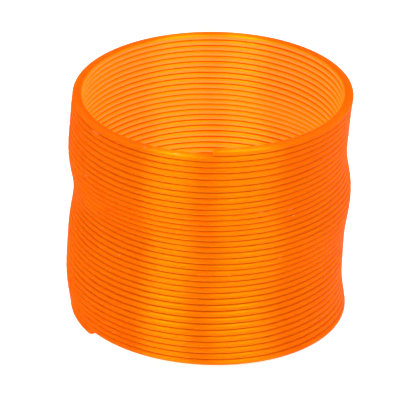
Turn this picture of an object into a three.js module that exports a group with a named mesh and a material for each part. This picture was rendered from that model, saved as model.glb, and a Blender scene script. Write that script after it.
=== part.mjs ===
// Coil spring toy: one long plastic strand wound into a tall stack of touching turns.
// Each turn of the strand is its own solid, so that the stack can be drawn out and bent over.
// Millimetres, +Z up. The origin is on the table under the middle of the stack.

import * as THREE from 'three';

// Driving dimensions
const outerDiameter = 70;
const strandWidth = 2.5;
const strandHeight = 1.46;
const pitch = 1.6;
const lastTurn = 37;

// Where the strand starts, where one turn hands over to the next, and where it stops,
// as compass angles seen from above: 0 is +X, 90 is +Y
const lowerEndAngle = 212;
const seamAngle = 180;
const upperEndAngle = 270;

// Fineness and clearances
const stepsPerTurn = 30;
const seamGap = 0.3;
const edgeBevel = 0.4;

// The weight of the stack presses the lowest turn flat on the table up to flatUntil degrees
// along the strand; the turns above sag into it less and less
const flatUntil = 215;
const sagKeptPerTurn = 0.86;

// The turns don't lie exactly over each other: the stack leans to +X by lean each way from
// its middle, and sways in slow waves. reach is in millimetres, and turns is the length of
// one wave
const lean = 0.46;
const sideWaves = [
  { reach: 0.68, turns: 20.6, start: 13.7 },
  { reach: 0.18, turns: 10.7, start: 6.7 },
];
const depthWaves = [
  { reach: 1.11, turns: 35.6, start: 8.4 },
  { reach: -0.22, turns: 10, start: 4.1 },
];

// The top turns tip up at the front, where the free end is: by tipUp there and by nothing at
// the rear. The tip grows between two turns counted from the lower end.
const tipUp = 0.86;
const tipStarts = 31;
const tipComplete = 34.5;

// Worked-out sizes
const middleRadius = (outerDiameter - strandWidth) / 2;
const fullTurn = 360;
const firstSeam = lowerEndAngle - seamAngle;
const topTurnLength = (seamAngle - upperEndAngle + fullTurn) % fullTurn;
const turnsInAll = (firstSeam + fullTurn * (lastTurn - 1) + topTurnLength) / fullTurn;

function radians(degrees) {
  return (degrees * Math.PI) / 180;
}

function sway(waves, turns) {
  let sum = 0;
  for (const wave of waves) {
    sum += wave.reach * Math.sin((2 * Math.PI * (turns - wave.start)) / wave.turns);
  }
  return sum;
}

// How far the strand lies below an even helix, at an angle along it
function sag(along) {
  const turnsBelow = Math.floor(along / fullTurn);
  const place = along - turnsBelow * fullTurn;
  const pressed = (pitch * Math.min(place, flatUntil)) / fullTurn;
  const climb = THREE.MathUtils.smoothstep(place, flatUntil, fullTurn);
  return pressed * (1 - climb) * sagKeptPerTurn ** turnsBelow;
}

// How far the tipping of the top turns lifts the strand
function tip(turns, angle) {
  const towardsFront = (1 - Math.sin(angle)) / 2;
  return tipUp * towardsFront * THREE.MathUtils.smoothstep(turns, tipStarts, tipComplete);
}

// The middle of the strand's underside, at an angle along it from its lower end.
// The strand climbs clockwise as seen from above.
function underside(along) {
  const angle = radians(lowerEndAngle - along);
  const turns = along / fullTurn;
  return {
    angle,
    x: lean * ((2 * turns) / turnsInAll - 1) + sway(sideWaves, turns),
    y: sway(depthWaves, turns),
    z: pitch * turns - sag(along) + tip(turns, angle),
  };
}

// The strand's cross-section: [away from the middle of the coil, up from the underside]
const section = [
  [-strandWidth / 2, 0],
  [strandWidth / 2 - edgeBevel, 0],
  [strandWidth / 2, strandHeight / 2],
  [strandWidth / 2 - edgeBevel, strandHeight],
  [-strandWidth / 2, strandHeight],
];

// A closed length of strand between two angles along it
function strandGeometry(from, to) {
  const steps = Math.round(((to - from) / fullTurn) * stepsPerTurn);
  const corners = section.length;
  const positions = [];
  const faces = [];
  for (let step = 0; step <= steps; step += 1) {
    const place = underside(from + ((to - from) * step) / steps);
    for (const [out, up] of section) {
      const radius = middleRadius + out;
      positions.push(place.x + radius * Math.cos(place.angle));
      positions.push(place.y + radius * Math.sin(place.angle));
      positions.push(place.z + up);
    }
  }
  for (let step = 0; step < steps; step += 1) {
    for (let corner = 0; corner < corners; corner += 1) {
      const here = step * corners + corner;
      const next = step * corners + ((corner + 1) % corners);
      faces.push(here, next, next + corners);
      faces.push(here, next + corners, here + corners);
    }
  }
  const far = steps * corners;
  for (let corner = 1; corner < corners - 1; corner += 1) {
    faces.push(0, corner + 1, corner);
    faces.push(far, far + corner, far + corner + 1);
  }
  const geometry = new THREE.BufferGeometry();
  geometry.setAttribute('position', new THREE.Float32BufferAttribute(positions, 3));
  geometry.setIndex(faces);
  geometry.computeVertexNormals();
  return geometry;
}

// One turn of the strand, from seam to seam; the lowest starts and the highest stops at the
// strand's own ends
function coilTurn(number) {
  const halfGap = ((seamGap / 2 / middleRadius) * 180) / Math.PI;
  const seamBelow = firstSeam + fullTurn * (number - 1);
  const seamAbove = seamBelow + fullTurn;
  const from = number === 1 ? 0 : seamBelow + halfGap;
  const to = number === lastTurn ? seamBelow + topTurnLength : seamAbove - halfGap;
  const material = new THREE.MeshStandardMaterial({
    color: 0xff7d00,
    roughness: 0.3,
    metalness: 0,
  });
  const turn = new THREE.Mesh(strandGeometry(from, to), material);
  turn.name = `coil_turn_${String(number).padStart(2, '0')}`;
  return turn;
}

const springToy = new THREE.Group();
for (let number = 1; number <= lastTurn; number += 1) {
  springToy.add(coilTurn(number));
}

export default springToy;
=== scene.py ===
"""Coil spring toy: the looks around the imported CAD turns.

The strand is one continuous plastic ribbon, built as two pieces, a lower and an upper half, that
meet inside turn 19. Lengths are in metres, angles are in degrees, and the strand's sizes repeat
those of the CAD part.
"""

import math

import bpy
import numpy as np
from mathutils import Matrix, Vector


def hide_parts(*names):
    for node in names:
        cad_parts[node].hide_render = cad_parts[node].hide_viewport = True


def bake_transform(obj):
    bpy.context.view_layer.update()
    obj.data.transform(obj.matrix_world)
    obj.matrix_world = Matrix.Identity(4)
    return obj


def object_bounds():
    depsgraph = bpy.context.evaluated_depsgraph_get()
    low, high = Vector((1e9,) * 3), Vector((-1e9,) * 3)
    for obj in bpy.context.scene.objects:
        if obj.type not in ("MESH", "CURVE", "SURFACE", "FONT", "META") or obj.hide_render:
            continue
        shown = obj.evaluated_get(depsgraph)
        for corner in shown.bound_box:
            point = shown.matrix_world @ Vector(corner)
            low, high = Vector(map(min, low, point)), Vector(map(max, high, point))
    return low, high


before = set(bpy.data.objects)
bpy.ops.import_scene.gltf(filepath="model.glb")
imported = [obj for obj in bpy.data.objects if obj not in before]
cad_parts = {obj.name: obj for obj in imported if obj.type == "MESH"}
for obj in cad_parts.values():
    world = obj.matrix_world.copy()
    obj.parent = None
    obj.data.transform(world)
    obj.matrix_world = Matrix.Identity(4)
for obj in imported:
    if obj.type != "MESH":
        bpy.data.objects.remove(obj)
cad_low, cad_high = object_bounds()

MM = 0.001
FULL_TURN = 360.0
WHITE = (1.0, 1.0, 1.0)

# The strand, as in the CAD part
OUTER_DIAMETER = 70 * MM
STRAND_WIDTH = 2.5 * MM
PITCH = 1.6 * MM
LAST_TURN = 37
LOWER_END_ANGLE = 212.0
SEAM_ANGLE = 180.0
UPPER_END_ANGLE = 270.0
FLAT_UNTIL = 215.0
SAG_KEPT_PER_TURN = 0.86
LEAN = 0.46 * MM
SIDE_WAVES = ((0.68 * MM, 20.6, 13.7), (0.18 * MM, 10.7, 6.7))
DEPTH_WAVES = ((1.11 * MM, 35.6, 8.4), (-0.22 * MM, 10.0, 4.1))
TIP_UP = 0.86 * MM
TIP_STARTS = 31.0
TIP_COMPLETE = 34.5

# The turn, and the compass angle within it, where the lower half meets the upper half
HUB_TURN = 19
MEETING_ANGLE = 25.0

# The strand's finished cross-section, and how finely it is drawn
TURN_GAP = 0.005 * MM
SECTION_HEIGHT = PITCH - TURN_GAP
SECTION_SQUARENESS = 3.0
SECTION_POINTS = 24
STEPS_PER_TURN = 96

# A cut end is rounded over this length, where the section shrinks by this share. Each swing is
# how far round the rounding one of its rings lies.
END_ROUNDING = 0.4 * MM
END_SHRINK = 0.2
END_SWINGS = (0.0, 25.0, 50.0, 70.0, 90.0)

MIDDLE_RADIUS = (OUTER_DIAMETER - STRAND_WIDTH) / 2
FIRST_SEAM = LOWER_END_ANGLE - SEAM_ANGLE
TOP_TURN_LENGTH = (SEAM_ANGLE - UPPER_END_ANGLE) % FULL_TURN
STRAND_END = FIRST_SEAM + FULL_TURN * (LAST_TURN - 1) + TOP_TURN_LENGTH
TURNS_IN_ALL = STRAND_END / FULL_TURN

# The mesh attribute that says where a point lies on the strand laid out straight: along it, out
# from its middle, and up from its mid-height
STRAIGHT_PLACE = "straight_place"


def node_name(number):
    return f"coil_turn_{number:02d}"


def along_in_turn(number, compass_angle):
    """The angle along the strand where it passes a compass angle within a turn."""
    return FIRST_SEAM + FULL_TURN * (number - 1) + (SEAM_ANGLE - compass_angle) % FULL_TURN


# ---------------------------------------------------------------- the strand's shape


def sway(waves, turns):
    """The sum of waves given as (reach, length in turns, start)."""
    return sum(reach * np.sin(2 * np.pi * (turns - start) / length) for reach, length, start in waves)


def smoothstep(value, low, high):
    share = np.clip((value - low) / (high - low), 0, 1)
    return share * share * (3 - 2 * share)


def sag(along):
    """How far the strand lies below an even helix, at angles along it."""
    turns_below = np.floor(along / FULL_TURN)
    place = along - turns_below * FULL_TURN
    pressed = PITCH * np.minimum(place, FLAT_UNTIL) / FULL_TURN
    return pressed * (1 - smoothstep(place, FLAT_UNTIL, FULL_TURN)) * SAG_KEPT_PER_TURN**turns_below


def tip(turns, angle):
    """How far the tipping of the top turns lifts the strand: most at the front, not at the rear."""
    return TIP_UP * (1 - np.sin(angle)) / 2 * smoothstep(turns, TIP_STARTS, TIP_COMPLETE)


def middle_line(along):
    """Angle round the coil, x, y of the coil's centre, z of the strand's mid-height, its height.

    They are for angles along the strand. The strand is as tall as the room up to the next turn,
    so no daylight shows between turns.
    """
    turns = along / FULL_TURN
    angle = np.radians(LOWER_END_ANGLE - along)
    x = LEAN * (2 * turns / TURNS_IN_ALL - 1) + sway(SIDE_WAVES, turns)
    y = sway(DEPTH_WAVES, turns)
    underside = PITCH * turns - sag(along) + tip(turns, angle)
    next_underside = PITCH * (turns + 1) - sag(along + FULL_TURN) + tip(turns + 1, angle)
    height = next_underside - underside - TURN_GAP
    return angle, x, y, underside + height / 2, height


def section_outline():
    """Out and up offsets of a softly squared outline."""
    t = np.arange(SECTION_POINTS) * 2 * np.pi / SECTION_POINTS + np.pi / SECTION_POINTS
    power = 2 / SECTION_SQUARENESS
    out = np.sign(np.cos(t)) * np.abs(np.cos(t)) ** power * STRAND_WIDTH / 2
    up = np.sign(np.sin(t)) * np.abs(np.sin(t)) ** power * SECTION_HEIGHT / 2
    return out, up


def section_rings(start, end, cut_start, cut_end):
    """The angles along the strand of a piece's rings, and the scale of the section at each."""
    steps = int(round((end - start) / FULL_TURN * STEPS_PER_TURN))
    along = np.linspace(start, end, steps + 1)
    scale = np.ones(steps + 1)
    swing = np.radians(END_SWINGS)
    end_along = math.degrees(END_ROUNDING / MIDDLE_RADIUS) * (1 - np.cos(swing))
    end_scale = 1 - END_SHRINK * (1 - np.sin(swing))
    if cut_start:
        along = np.concatenate([start + end_along, along[1:]])
        scale = np.concatenate([end_scale, scale[1:]])
    if cut_end:
        along = np.concatenate([along[:-1], end - end_along[::-1]])
        scale = np.concatenate([scale[:-1], end_scale[::-1]])
    return along, scale


def tube_faces(rings):
    """The quads between neighbouring rings of points, and one face over each end."""
    corner = np.arange(SECTION_POINTS)
    first = np.arange(rings - 1)[:, None] * SECTION_POINTS
    here = first + corner
    beside = first + (corner + 1) % SECTION_POINTS
    sides = np.stack([here, beside, beside + SECTION_POINTS, here + SECTION_POINTS], axis=-1)
    faces = sides.reshape(-1, 4).tolist()
    faces.append(corner[::-1].tolist())
    faces.append((corner + (rings - 1) * SECTION_POINTS).tolist())
    return faces


def strand_piece(name, start, end, cut_start, cut_end):
    """A closed length of strand between two angles along it, and each point's angle along it."""
    along, scale = section_rings(start, end, cut_start, cut_end)
    out, up = section_outline()
    angle, x, y, z, height = middle_line(along)
    radius = MIDDLE_RADIUS + np.outer(scale, out)
    points = np.stack(
        [
            x[:, None] + radius * np.cos(angle)[:, None],
            y[:, None] + radius * np.sin(angle)[:, None],
            z[:, None] + np.outer(scale * height / SECTION_HEIGHT, up),
        ],
        axis=-1,
    )
    mesh = bpy.data.meshes.new(name)
    mesh.from_pydata(points.reshape(-1, 3).tolist(), [], tube_faces(len(along)))
    mesh.update()
    smooth = np.ones(len(mesh.polygons), bool)
    smooth[-2:] = False
    mesh.polygons.foreach_set("use_smooth", smooth)
    straight = np.empty(points.shape, np.float32)
    straight[..., 0] = (np.radians(along) * MIDDLE_RADIUS)[:, None]
    straight[..., 1] = out
    straight[..., 2] = up
    layer = mesh.attributes.new(STRAIGHT_PLACE, "FLOAT_VECTOR", "POINT")
    layer.data.foreach_set("vector", straight.ravel())
    piece = bpy.data.objects.new(name, mesh)
    bpy.context.scene.collection.objects.link(piece)
    return piece, np.repeat(along, SECTION_POINTS)


def spread_over(piece):
    """Bakes the piece's placement into its mesh."""
    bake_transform(piece)


# ---------------------------------------------------------------- material

# The colour on the outside, from cloud to cloud, and the inner face's painted light: a lighter colour
# that stands for the light coming through the wall
DEEP_DYE = (0.77, 0.098, 0.0)
PALE_DYE = (0.81, 0.114, 0.0)
INNER_PAINTED_LIGHT = (1.0, 0.15, 0.0)
CLOUD_SCALE = 70.0
CLOUD_CONTRAST = (0.3, 0.72)

# Colours of single zones: a painted pale band of light along the middle of the inner face, painted
# shade on the inner face's upper edge, and painted shade on the outer face's underside and shoulder,
# which makes the brown groove between turns
INNER_PAINTED_PALE_BAND = (1.0, 0.15, 0.09)
INNER_SHOULDER_PAINTED_SHADE = (1.0, 0.05, 0.0)
INNER_SHOULDER_SHADE_SHARE = 0.85
UNDERSIDE_PAINTED_SHADE = (0.45, 0.105, 0.0)
UNDERSIDE_SHADE_SHARE = 0.75
SHOULDER_PAINTED_SHADE = (0.50, 0.13, 0.0)
SHOULDER_SHADE_SHARE = 0.4

# Where the zones start and are complete, out from the strand's middle and up from its mid-height
INNER_FACE = (-0.8 * MM, -1.1 * MM)
OUTER_FACE = (-0.4 * MM, 0.4 * MM)
PALE_BAND_BOTTOM = (-0.6 * MM, -0.2 * MM)
PALE_BAND_TOP = (0.6 * MM, -0.1 * MM)
INNER_SHOULDER = (-0.1 * MM, 0.5 * MM)
UNDERSIDE = (0.5 * MM, -0.55 * MM)
SHOULDER = (0.35 * MM, 0.75 * MM)

# Specks on the outer face: noise stretched along the strand, per metre, and the values at which
# pale nicks and dark scratches start and are complete
SPECKS_PER_METRE = (250.0, 800.0, 800.0)
SPECK_SHARE = 0.6
NICK = (1.0, 0.30, 0.12)
NICK_RANGE = (0.83, 0.86)
SCRATCH = (0.45, 0.07, 0.0)
SCRATCH_RANGE = (0.17, 0.14)

# Draw lines: finer noise stretched along the strand, which changes roughness and bump
LINES_PER_METRE = (40.0, 3500.0, 3500.0)
LINES_CONTRAST = (0.3, 0.7)
ROUGHNESS_RANGE = (0.34, 0.42)
LINES_STRENGTH = 0.25
LINES_DEPTH = 0.03 * MM

# The plastic itself. The gloss direction is in turns: a quarter spreads it up and down. The glow
# on the inner face is partly the plastic's fluorescence and partly painted light for the light that comes
# through the wall.
REFRACTION = 1.59
GLOSS_TINT = (1.0, 0.48, 0.0)
GLOSS_DIRECTION = 0.25
SCATTER_WEIGHT = 0.8
SCATTER_BY_COLOUR = (1.0, 0.8, 0.3)
SCATTER_DEPTH = 3.0 * MM
GLOW = (1.0, 0.5, 0.0)
GLOW_STRENGTH = 0.37


class Graph:
    """A new material's nodes, with short ways to add and join them."""

    def __init__(self, name):
        self.material = bpy.data.materials.new(name)
        self.material.use_nodes = True
        self.tree = self.material.node_tree
        self.shader = self.tree.nodes["Principled BSDF"]

    def link(self, source, target):
        self.tree.links.new(source, target)

    def node(self, kind, **inputs):
        made = self.tree.nodes.new(kind)
        for name, value in inputs.items():
            made.inputs[name.replace("_", " ")].default_value = value
        return made

    def zone(self, value, start, complete, low=0, high=1):
        """Low where the value is at start, changing smoothly to high where it is complete."""
        made = self.node("ShaderNodeMapRange", From_Min=start, From_Max=complete, To_Min=low, To_Max=high)
        made.interpolation_type = "SMOOTHSTEP"
        self.link(value, made.inputs["Value"])
        return made.outputs["Result"]

    def product(self, first, second):
        made = self.node("ShaderNodeMath")
        made.operation = "MULTIPLY"
        self.link(first, made.inputs[0])
        self.link(second, made.inputs[1])
        return made.outputs["Value"]

    def mixed(self, share, first, second):
        """The first colour, or a socket of colours, turning into the second colour with share."""
        made = self.node("ShaderNodeMix")
        made.data_type = "RGBA"
        self.link(share, made.inputs["Factor"])
        if isinstance(first, tuple):
            colour_socket(made.inputs, "A").default_value = (*first, 1)
        else:
            self.link(first, colour_socket(made.inputs, "A"))
        colour_socket(made.inputs, "B").default_value = (*second, 1)
        return colour_socket(made.outputs, "Result")

    def stretched_noise(self, place, per_metre, **inputs):
        """Noise drawn out along the strand."""
        mapping = self.node("ShaderNodeMapping", Scale=per_metre)
        self.link(place, mapping.inputs["Vector"])
        noise = self.node("ShaderNodeTexNoise", Scale=1.0, **inputs)
        self.link(mapping.outputs["Vector"], noise.inputs["Vector"])
        return noise.outputs["Fac"]


def colour_socket(sockets, name):
    """A Mix node has several sockets of one name, and one of them is for colours."""
    return next(socket for socket in sockets if socket.name == name and socket.type == "RGBA")


def set_plastic(graph):
    """What is the same all over the strand: translucency, and gloss drawn out up and down."""
    shader = graph.shader
    shader.inputs["IOR"].default_value = REFRACTION
    shader.inputs["Specular Tint"].default_value = (*GLOSS_TINT, 1)
    shader.inputs["Subsurface Weight"].default_value = SCATTER_WEIGHT
    shader.inputs["Subsurface Radius"].default_value = SCATTER_BY_COLOUR
    shader.inputs["Subsurface Scale"].default_value = SCATTER_DEPTH
    shader.inputs["Anisotropic"].default_value = 1.0
    shader.inputs["Anisotropic Rotation"].default_value = GLOSS_DIRECTION
    # The colour of the glow on the inner face, which is partly painted light
    shader.inputs["Emission Color"].default_value = (*GLOW, 1)
    tangent = graph.node("ShaderNodeTangent")
    tangent.direction_type = "RADIAL"
    tangent.axis = "Z"
    graph.link(tangent.outputs["Tangent"], shader.inputs["Tangent"])


def dye_with_painted_light(graph, place, out, up):
    """The base colour: cloudy colour, then painted light and shade in zones of the section, then the
    specks.
    """
    cloud = graph.node("ShaderNodeTexNoise", Scale=CLOUD_SCALE, Detail=3.0, Roughness=0.5)
    everywhere = graph.node("ShaderNodeTexCoord").outputs["Object"]
    graph.link(everywhere, cloud.inputs["Vector"])
    dye_and_painted_light = graph.mixed(graph.zone(cloud.outputs["Fac"], *CLOUD_CONTRAST), DEEP_DYE, PALE_DYE)

    inside = graph.zone(out, *INNER_FACE)
    outside = graph.zone(out, *OUTER_FACE)
    # A pale band painted along the middle of the inner face: painted light, paler than the plastic
    painted_pale_band = graph.product(graph.zone(up, *PALE_BAND_BOTTOM), graph.zone(up, *PALE_BAND_TOP))
    # Painted shade on the inner face's upper edge: a deeper, darker red that damps the highlight there
    inner_shoulder = graph.zone(up, *INNER_SHOULDER, high=INNER_SHOULDER_SHADE_SHARE)
    # Painted shade on the outer face's underside and shoulder makes the brown groove between turns
    underside = graph.zone(up, *UNDERSIDE, high=UNDERSIDE_SHADE_SHARE)
    shoulder = graph.zone(up, *SHOULDER, high=SHOULDER_SHADE_SHARE)
    specks = graph.stretched_noise(place, SPECKS_PER_METRE, Detail=0.0)
    nicks = graph.zone(specks, *NICK_RANGE, high=SPECK_SHARE)
    scratches = graph.zone(specks, *SCRATCH_RANGE, high=SPECK_SHARE)

    # The inner face gets a lighter colour: painted light for the light that comes through the wall
    dye_and_painted_light = graph.mixed(inside, dye_and_painted_light, INNER_PAINTED_LIGHT)
    # Painted pale light and painted shade in zones of the section, then real nicks and scratches on the
    # outer face
    for face, zone, colour in (
        (inside, painted_pale_band, INNER_PAINTED_PALE_BAND),
        (outside, underside, UNDERSIDE_PAINTED_SHADE),
        (outside, shoulder, SHOULDER_PAINTED_SHADE),
        (inside, inner_shoulder, INNER_SHOULDER_PAINTED_SHADE),
        (outside, nicks, NICK),
        (outside, scratches, SCRATCH),
    ):
        dye_and_painted_light = graph.mixed(graph.product(face, zone), dye_and_painted_light, colour)
    return dye_and_painted_light


def neon_plastic():
    """Glossy translucent neon orange, drawn lengthwise, with cloudy colour, painted light and shade, and
    small scuffs.
    """
    graph = Graph("neon_orange_plastic")
    shader = graph.shader
    set_plastic(graph)
    straight = graph.node("ShaderNodeAttribute")
    straight.attribute_name = STRAIGHT_PLACE
    place = straight.outputs["Vector"]
    parts = graph.node("ShaderNodeSeparateXYZ")
    graph.link(place, parts.inputs["Vector"])
    out, up = parts.outputs["Y"], parts.outputs["Z"]

    graph.link(dye_with_painted_light(graph, place, out, up), shader.inputs["Base Color"])
    # The inner face glows: partly fluorescence, partly painted light for the light coming through the
    # wall
    graph.link(graph.zone(out, *INNER_FACE, high=GLOW_STRENGTH), shader.inputs["Emission Strength"])

    lines = graph.stretched_noise(place, LINES_PER_METRE, Detail=4.0, Roughness=0.6)
    graph.link(graph.zone(lines, *LINES_CONTRAST, *ROUGHNESS_RANGE), shader.inputs["Roughness"])
    bump = graph.node("ShaderNodeBump", Strength=LINES_STRENGTH, Distance=LINES_DEPTH)
    graph.link(lines, bump.inputs["Height"])
    graph.link(bump.outputs["Normal"], shader.inputs["Normal"])
    return graph.material


# ---------------------------------------------------------------- pieces

meeting = along_in_turn(HUB_TURN, MEETING_ANGLE)
lower, lower_along = strand_piece("strand_lower", 0.0, meeting, True, False)
upper, upper_along = strand_piece("strand_upper", meeting, STRAND_END, False, True)
orange = neon_plastic()
for piece in (lower, upper):
    piece.data.materials.append(orange)
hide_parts(*[node_name(k) for k in range(1, HUB_TURN + 1)])
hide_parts(*[node_name(k) for k in range(HUB_TURN + 1, LAST_TURN + 1)])
spread_over(lower)
spread_over(upper)

# ---------------------------------------------------------------- floor

# A sheet of pale paper with a glow of its own, so that it comes out as the photo's white table.
# It throws no shadow and doesn't show in the gloss, so lights below table height reach the toy.
FLOOR_REACH = 15.0
FLOOR_DROP = 0.02 * MM
PAPER_COLOUR = (0.6, 0.6, 0.6)
PAPER_ROUGHNESS = 0.9
PAPER_GLOW = 0.75

floor_mesh = bpy.data.meshes.new("floor")
corners = [(-1, -1), (1, -1), (1, 1), (-1, 1)]
floor_mesh.from_pydata([(x * FLOOR_REACH, y * FLOOR_REACH, 0) for x, y in corners], [], [(0, 1, 2, 3)])
floor = bpy.data.objects.new("floor", floor_mesh)
floor.location.z = cad_low.z - FLOOR_DROP
floor.visible_glossy = False
floor.visible_shadow = False
bpy.context.scene.collection.objects.link(floor)
paper = Graph("paper_sweep")
paper.shader.inputs["Base Color"].default_value = (*PAPER_COLOUR, 1)
paper.shader.inputs["Roughness"].default_value = PAPER_ROUGHNESS
paper.shader.inputs["Emission Color"].default_value = (*WHITE, 1)
paper.shader.inputs["Emission Strength"].default_value = PAPER_GLOW
floor_mesh.materials.append(paper.material)

# ---------------------------------------------------------------- light

BOX_DISTANCE = 0.9
BACKDROP_DISTANCE = 1.5
FILL_DISTANCE = 1.0
SKY_STRENGTH = 1.4
WARM = (1.0, 0.8, 0.1)
RED_ORANGE = (1.0, 0.15, 0.0)

middle = (cad_low + cad_high) / 2


def soft_box(name, azimuth, elevation, distance, size, radiance, colour=WHITE, gloss=True):
    """A rectangular studio light of size (width, height), for gloss alone or for shading alone.

    Azimuth 0 is in front of the toy and positive is to its right.
    """
    width, height = size
    data = bpy.data.lights.new(name, "AREA")
    data.shape = "RECTANGLE"
    data.size = width
    data.size_y = height
    data.energy = math.pi * width * height * radiance
    data.color = colour
    light = bpy.data.objects.new(name, data)
    turn, rise = math.radians(azimuth), math.radians(elevation)
    away = Vector((math.sin(turn) * math.cos(rise), -math.cos(turn) * math.cos(rise), math.sin(rise)))
    light.location = middle + away * distance
    light.rotation_mode = "QUATERNION"
    light.rotation_quaternion = away.to_track_quat("Z", "Y")
    light.visible_camera = False
    light.visible_transmission = False
    light.visible_glossy = gloss
    light.visible_diffuse = not gloss
    bpy.context.scene.collection.objects.link(light)


def front_box(side, azimuth, width, strip, panel, below):
    """A tall softbox in front makes one bright zone: a strip, a panel, and one below the table.

    strip, panel and below are their radiances. The lowest brightens the undersides of the turns.
    """
    for part, elevation, size, radiance in (
        ("box_high", 58, (width * 0.6, 0.25), strip),
        ("box", 28, (width, 0.75), panel),
        ("box_low", -40, (width * 0.9, 1.3), below),
    ):
        soft_box(f"{side}_{part}", azimuth, elevation, BOX_DISTANCE, size, radiance, colour=WARM)


front_box("left", azimuth=-35.5, width=0.6, strip=40.0, panel=3.8, below=6.8)
front_box("right", azimuth=35.2, width=0.85, strip=35.0, panel=2.6, below=4.6)

# Small bright boxes above either side shine on the top turn's face
for side, azimuth in (("left", -68), ("right", 68)):
    soft_box(
        f"{side}_box_top",
        azimuth,
        elevation=74,
        distance=BOX_DISTANCE,
        size=(0.25, 0.35),
        radiance=45.0,
        colour=WARM,
    )

# Dim panels low behind the toy stand for the white table in the gloss near the side outlines
for name, azimuth, width, radiance in (
    ("backdrop", 172, 1.9, 0.45),
    ("backdrop_side", 130, 1.0, 0.15),
):
    soft_box(
        name,
        azimuth,
        elevation=-35,
        distance=BACKDROP_DISTANCE,
        size=(width, 1.2),
        radiance=radiance,
    )

# The shading comes from a red-orange glow on either side, a fill above the front, and the sky
for side, azimuth in (("left", -100), ("right", 100)):
    soft_box(
        f"{side}_glow",
        azimuth,
        elevation=8,
        distance=FILL_DISTANCE,
        size=(0.6, 0.8),
        radiance=1.8,
        colour=RED_ORANGE,
        gloss=False,
    )
soft_box(
    "top_fill",
    azimuth=0,
    elevation=62,
    distance=FILL_DISTANCE,
    size=(0.9, 0.6),
    radiance=1.5,
    gloss=False,
)

world = bpy.data.worlds.new("studio")
bpy.context.scene.world = world
world.use_nodes = True
world.node_tree.nodes["Background"].inputs["Color"].default_value = (*WHITE, 1)
world.node_tree.nodes["Background"].inputs["Strength"].default_value = SKY_STRENGTH
world.cycles_visibility.glossy = False
bpy.context.scene.view_settings.view_transform = "Standard"

# ---------------------------------------------------------------- camera

# A long lens looks down on the front of the coil. The camera stands at its distance from the
# pivot and aims a little beside and below it.
CAMERA_DISTANCE = 1.212
CAMERA_ELEVATION = 28.0
CAMERA_ROLL = 0.92
PIVOT_HEIGHT = 31 * MM
AIM_LEFT_OF_PIVOT = 0.11 * MM
AIM_BELOW_PIVOT = 4.65 * MM
SENSOR_WIDTH = 36
LENS_PER_SENSOR = 11.56
NEAR_LIMIT = 0.05
FAR_LIMIT = 50

camera_data = bpy.data.cameras.new("camera")
camera_data.sensor_width = SENSOR_WIDTH
camera_data.lens = SENSOR_WIDTH * LENS_PER_SENSOR
camera_data.clip_start = NEAR_LIMIT
camera_data.clip_end = FAR_LIMIT
camera = bpy.data.objects.new("camera", camera_data)
camera_rise = math.radians(CAMERA_ELEVATION)
pivot = Vector((0, 0, PIVOT_HEIGHT))
camera.location = pivot + CAMERA_DISTANCE * Vector((0, -math.cos(camera_rise), math.sin(camera_rise)))
aim = pivot - Vector((AIM_LEFT_OF_PIVOT, 0, AIM_BELOW_PIVOT))
look = (aim - camera.location).to_track_quat("-Z", "Y").to_matrix().to_4x4()
roll = Matrix.Rotation(math.radians(CAMERA_ROLL), 4, "Z")
camera.matrix_world = Matrix.Translation(camera.location) @ look @ roll
bpy.context.scene.collection.objects.link(camera)
bpy.context.scene.camera = camera
